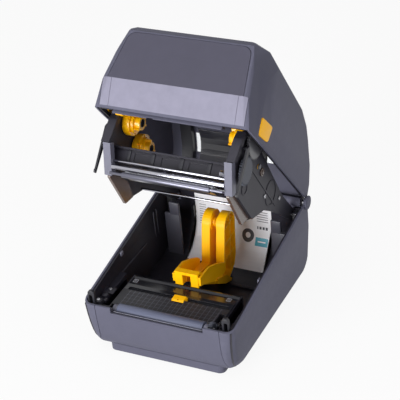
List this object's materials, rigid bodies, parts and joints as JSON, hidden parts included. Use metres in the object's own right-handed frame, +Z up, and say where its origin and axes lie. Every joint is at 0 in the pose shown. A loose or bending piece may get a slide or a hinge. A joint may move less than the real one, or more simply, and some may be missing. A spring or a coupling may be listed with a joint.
{
  "type": "thermal label printer",
  "caption": "Desktop thermal transfer label printer, lid open, with platen, ribbon carriage, spreading roll holders, sliding sensor, side latches and panel keys.",
  "frame": {"origin": "on the table, under the middle of the printer's outline with its lid open", "axes": "+X to the right as the user faces the front, +Y to the rear, +Z up"},
  "size_m": [0.208, 0.2676, 0.3713],
  "materials": {
    "shell_grey": "fine matt texture",
    "cover_grey": "fine matt texture",
    "band_lavender": "smooth satin",
    "inner_black": "satin moulded",
    "deck_gloss": "polished",
    "touch_yellow": "satin",
    "platen_rubber": "ground rubber",
    "foot_rubber": "matt",
    "bright_steel": "bright",
    "chrome_bar": "polished",
    "block_grey": "satin",
    "plate_slate": "satin",
    "head_grey": "satin",
    "alloy": "extruded",
    "guide_bronze": "glossy",
    "gear_grey": "moulded",
    "pinion_brass": "machined",
    "board_green": "lacquered board",
    "socket_black": "moulded",
    "sheet_white": "printed film",
    "key_grey": "satin",
    "lens_green": "clear tinted",
    "window_clear": "clear sheet"
  },
  "bodies": {
    "base": {"base_shell": "shell_grey", "front_cover": "cover_grey", "inner_tray": "inner_black", "bottom_cover": "shell_grey", "rubber_feet": "foot_rubber", "deck_plate": "deck_gloss", "tear_bar": "bright_steel", "platen_bearings": "block_grey", "latch_posts": "deck_gloss", "hinge_shaft": "bright_steel", "hinge_caps": "shell_grey", "carriage_pins": "bright_steel", "main_board": "board_green", "port_board": "board_green", "power_inlet": "socket_black", "data_port": "alloy", "drive_motor": "alloy", "info_sheet": "sheet_white", "cradle_rib": "inner_black", "base_screws": "bright_steel"},
    "platen": {"platen_roller": "platen_rubber", "platen_shaft": "bright_steel", "platen_gear": "gear_grey"},
    "idler": {"drive_idler": "gear_grey"},
    "pinion": {"motor_pinion": "pinion_brass"},
    "holder_left": {"roll_holder_left": "touch_yellow", "rack_left": "inner_black"},
    "holder_right": {"roll_holder_right": "touch_yellow", "rack_right": "inner_black"},
    "holder_gear": {"holder_pinion": "gear_grey"},
    "sensor": {"media_sensor": "touch_yellow"},
    "lid": {"lid_shell": "shell_grey", "lid_front_cover": "cover_grey", "lid_band": "band_lavender", "lid_window": "window_clear", "lid_inner_frame": "inner_black", "control_panel": "deck_gloss", "status_lenses": "lens_green"},
    "power_key": {"power_button": "key_grey"},
    "pause_key": {"pause_button": "key_grey"},
    "feed_key": {"feed_button": "key_grey"},
    "latch_left": {"latch_button_left": "touch_yellow"},
    "latch_right": {"latch_button_right": "touch_yellow"},
    "carriage": {"side_plate_left": "plate_slate", "side_plate_right": "plate_slate", "front_blocks": "block_grey", "head_bracket": "inner_black", "print_head": "head_grey", "heat_sink": "alloy", "ribbon_bars": "chrome_bar", "ribbon_guides": "guide_bronze", "ribbon_strip": "chrome_bar", "ribbon_shield": "inner_black"},
    "takeup_left": {"takeup_hub_left": "touch_yellow"},
    "takeup_right": {"takeup_hub_right": "touch_yellow"},
    "supply_left": {"supply_hub_left": "touch_yellow"},
    "supply_right": {"supply_hub_right": "touch_yellow"},
    "transfer": {"transfer_gear": "gear_grey"},
    "hook_left": {"latch_hook_left": "deck_gloss"},
    "hook_right": {"latch_hook_right": "deck_gloss"}
  },
  "joints": [
    {"name": "lid_hinge", "type": "hinge", "parent": "base", "child": "lid", "pos_m": [0, 0.10742, 0.112], "axis": [1, 0, 0], "range_deg": [0, 59.46]},
    {"name": "carriage_hinge", "type": "hinge", "parent": "base", "child": "carriage", "pos_m": [0, 0.10022, 0.095], "axis": [1, 0, 0], "range_deg": [0, 43]},
    {"name": "power_press", "type": "slide", "parent": "lid", "child": "power_key", "axis": [0, -0.8613, -0.5081], "range_m": [0, 0.0012], "stiffness_N_per_m": 300},
    {"name": "pause_press", "type": "slide", "parent": "lid", "child": "pause_key", "axis": [0, -0.8613, -0.5081], "range_m": [0, 0.0012], "stiffness_N_per_m": 300},
    {"name": "feed_press", "type": "slide", "parent": "lid", "child": "feed_key", "axis": [0, -0.8613, -0.5081], "range_m": [0, 0.0012], "stiffness_N_per_m": 300},
    {"name": "latch_left_press", "type": "slide", "parent": "lid", "child": "latch_left", "axis": [1, 0, 0], "range_m": [0, 0.004], "stiffness_N_per_m": 400},
    {"name": "latch_right_press", "type": "slide", "parent": "lid", "child": "latch_right", "axis": [-1, 0, 0], "range_m": [0, 0.004], "stiffness_N_per_m": 400},
    {"name": "hook_left_swing", "type": "hinge", "parent": "carriage", "child": "hook_left", "pos_m": [0, -0.03398, 0.27074], "axis": [1, 0, 0], "range_deg": [0, 8]},
    {"name": "hook_right_swing", "type": "hinge", "parent": "carriage", "child": "hook_right", "pos_m": [0, -0.03398, 0.27074], "axis": [1, 0, 0], "range_deg": [0, 8]},
    {"name": "platen_spin", "type": "hinge", "parent": "base", "child": "platen", "pos_m": [0, -0.11978, 0.0655], "axis": [1, 0, 0], "continuous": true},
    {"name": "idler_spin", "type": "hinge", "parent": "base", "child": "idler", "pos_m": [0, -0.10683, 0.0516], "axis": [1, 0, 0], "continuous": true},
    {"name": "pinion_spin", "type": "hinge", "parent": "base", "child": "pinion", "pos_m": [0, -0.09978, 0.03836], "axis": [1, 0, 0], "continuous": true},
    {"name": "holder_left_slide", "type": "slide", "parent": "base", "child": "holder_left", "axis": [-1, 0, 0], "range_m": [0, 0.05]},
    {"name": "holder_right_slide", "type": "slide", "parent": "base", "child": "holder_right", "axis": [1, 0, 0], "range_m": [0, 0.05]},
    {"name": "holder_gear_spin", "type": "hinge", "parent": "base", "child": "holder_gear", "pos_m": [0, 0.03822, 0.0175], "axis": [0, 0, 1], "range_deg": [-500, 500]},
    {"name": "sensor_slide", "type": "slide", "parent": "base", "child": "sensor", "axis": [1, 0, 0], "range_m": [-0.06, 0.05]},
    {"name": "takeup_left_spin", "type": "hinge", "parent": "carriage", "child": "takeup_left", "pos_m": [0, -0.00584, 0.265], "axis": [1, 0, 0], "continuous": true},
    {"name": "takeup_right_spin", "type": "hinge", "parent": "carriage", "child": "takeup_right", "pos_m": [0, -0.00584, 0.265], "axis": [1, 0, 0], "continuous": true},
    {"name": "supply_left_spin", "type": "hinge", "parent": "carriage", "child": "supply_left", "pos_m": [0, 0.00822, 0.22098], "axis": [1, 0, 0], "continuous": true},
    {"name": "supply_right_spin", "type": "hinge", "parent": "carriage", "child": "supply_right", "pos_m": [0, 0.00822, 0.22098], "axis": [1, 0, 0], "continuous": true},
    {"name": "transfer_spin", "type": "hinge", "parent": "carriage", "child": "transfer", "pos_m": [0, -0.03817, 0.24319], "axis": [1, 0, 0], "continuous": true}
  ],
  "couplings": [
    {"joint": "carriage_hinge", "follows": "lid_hinge", "ratio": 0.72318},
    {"joint": "hook_left_swing", "follows": "latch_left_press", "rad_per_m": 34.907},
    {"joint": "hook_right_swing", "follows": "latch_right_press", "rad_per_m": 34.907},
    {"joint": "idler_spin", "follows": "platen_spin", "ratio": -0.9},
    {"joint": "pinion_spin", "follows": "platen_spin", "ratio": 1.8},
    {"joint": "holder_right_slide", "follows": "holder_left_slide", "ratio": 1},
    {"joint": "holder_gear_spin", "follows": "holder_left_slide", "rad_per_m": -166.67},
    {"joint": "transfer_spin", "follows": "takeup_right_spin", "ratio": -1.2941}
  ]
}
